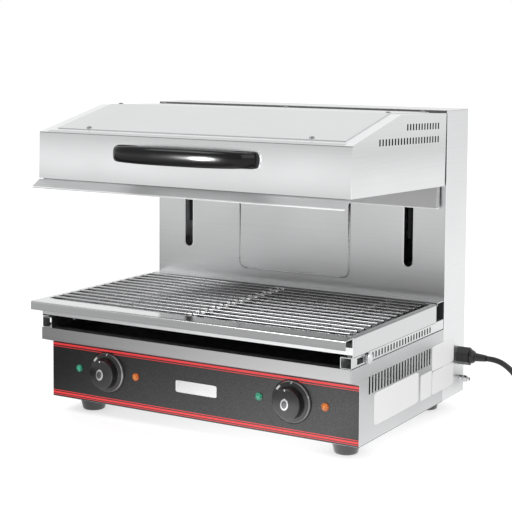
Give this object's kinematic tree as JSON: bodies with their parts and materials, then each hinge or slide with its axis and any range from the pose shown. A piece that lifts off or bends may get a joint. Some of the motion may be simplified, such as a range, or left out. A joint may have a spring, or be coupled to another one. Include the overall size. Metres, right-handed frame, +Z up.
{
  "type": "cheese melter",
  "caption": "Electric cheese melter with a hood that rises and falls on a rear column, a slide-out tray with wire racks and two heat controls.",
  "frame": {"origin": "on the floor under the feet, under the middle of the whole part with its cord left out, which is 11 mm to the right of the housing's own middle", "axes": "+Z up, +X to the right of a person who faces the controls, +Y from the controls to the back"},
  "size_m": [0.8712, 0.6394, 0.5398],
  "materials": {
    "steel_sheet": "satin stainless steel sheet",
    "dark_sheet": "dark sheet steel",
    "film": "dark satin film",
    "bright_steel": "bright plated steel",
    "rubber": "black rubber",
    "knob_plastic": "glossy black moulding",
    "insulator": "pale ceramic or thermoset",
    "green_lens": "green lens",
    "amber_lens": "amber lens",
    "gland_plastic": "polyamide",
    "heater_tube": "oxidised heating tube",
    "wool": "mineral wool",
    "frame_steel": "zinc plated steel",
    "bush_brass": "sintered bronze",
    "wire_rope": "twisted wire rope",
    "iron": "black iron"
  },
  "bodies": {
    "housing": {"base_pan": "steel_sheet", "body_side_left": "steel_sheet", "body_side_right": "steel_sheet", "control_panel": "dark_sheet", "panel_film": "film", "sill": "steel_sheet", "inner_deck": "dark_sheet", "side_rail_left": "steel_sheet", "side_rail_right": "steel_sheet", "rail_thumbscrews": "bright_steel", "column_side_left": "steel_sheet", "column_side_right": "steel_sheet", "column_top": "steel_sheet", "column_front_panel": "steel_sheet", "column_back_panel": "steel_sheet", "back_panel_screws": "bright_steel", "rubber_feet": "rubber", "foot_studs": "bright_steel", "power_regulators": "insulator", "pilot_lamps_green": "green_lens", "pilot_lamps_amber": "amber_lens", "mains_terminals": "insulator", "cord_gland": "gland_plastic", "gland_dome_nut": "gland_plastic", "strain_relief": "rubber", "power_cord": "rubber", "cord_coil": "rubber", "plug_body": "rubber", "plug_pins": "bright_steel", "earthing_stud": "bright_steel", "guide_rods": "bright_steel", "rod_brackets": "frame_steel", "pulley_brackets": "frame_steel", "rope_wraps": "wire_rope", "rope_front_runs": "wire_rope", "rope_back_runs": "wire_rope"},
    "hood": {"hood_shell": "steel_sheet", "hood_cover": "steel_sheet", "hood_screws": "bright_steel", "hood_lip": "steel_sheet", "hood_rear_shield": "steel_sheet", "hood_handle": "knob_plastic", "heater_left": "heater_tube", "heater_right": "heater_tube", "heat_reflector": "steel_sheet", "element_brackets": "bright_steel", "hood_insulation": "wool", "hood_terminals": "insulator", "lift_carriage": "frame_steel", "guide_bushes": "bush_brass"},
    "counterweight": {"counterweight": "iron"},
    "pulley_l": {"pulley_left": "frame_steel"},
    "pulley_r": {"pulley_right": "frame_steel"},
    "knob_l": {"knob_left": "knob_plastic", "shaft_left": "bright_steel"},
    "knob_r": {"knob_right": "knob_plastic", "shaft_right": "bright_steel"},
    "tray": {"rack_tray": "steel_sheet"},
    "rack_l": {"wire_rack_left": "bright_steel"},
    "rack_r": {"wire_rack_right": "bright_steel"}
  },
  "joints": [
    {"name": "hood_lift", "type": "slide", "parent": "housing", "child": "hood", "axis": [0, 0, 1], "range_m": [-0.145, 0], "deforming": ["rope_front_runs"]},
    {"name": "weight_lift", "type": "slide", "parent": "housing", "child": "counterweight", "axis": [0, 0, 1], "range_m": [0, 0.146], "deforming": ["rope_back_runs"]},
    {"name": "pulley_l_turn", "type": "hinge", "parent": "housing", "child": "pulley_l", "pos_m": [-0.1412, 0.2046, 0.496], "axis": [1, 0, 0], "range_deg": [0, 420]},
    {"name": "pulley_r_turn", "type": "hinge", "parent": "housing", "child": "pulley_r", "pos_m": [0.1188, 0.2046, 0.496], "axis": [1, 0, 0], "range_deg": [0, 420]},
    {"name": "knob_l_turn", "type": "hinge", "parent": "housing", "child": "knob_l", "pos_m": [-0.1922, -0.171, 0.084], "axis": [0, 1, 0], "range_deg": [0, 270]},
    {"name": "knob_r_turn", "type": "hinge", "parent": "housing", "child": "knob_r", "pos_m": [0.1698, -0.171, 0.084], "axis": [0, 1, 0], "range_deg": [0, 270]},
    {"name": "tray_slide", "type": "slide", "parent": "housing", "child": "tray", "axis": [0, -1, 0], "range_m": [0, 0.25]},
    {"name": "rack_l_lift", "type": "slide", "parent": "tray", "child": "rack_l", "axis": [0, 0, 1], "range_m": [0, 0.03]},
    {"name": "rack_r_lift", "type": "slide", "parent": "tray", "child": "rack_r", "axis": [0, 0, 1], "range_m": [0, 0.03]}
  ],
  "couplings": [
    {"joint": "weight_lift", "follows": "hood_lift", "ratio": -1},
    {"joint": "pulley_l_turn", "follows": "hood_lift", "rad_per_m": -50},
    {"joint": "pulley_r_turn", "follows": "hood_lift", "rad_per_m": -50}
  ]
}
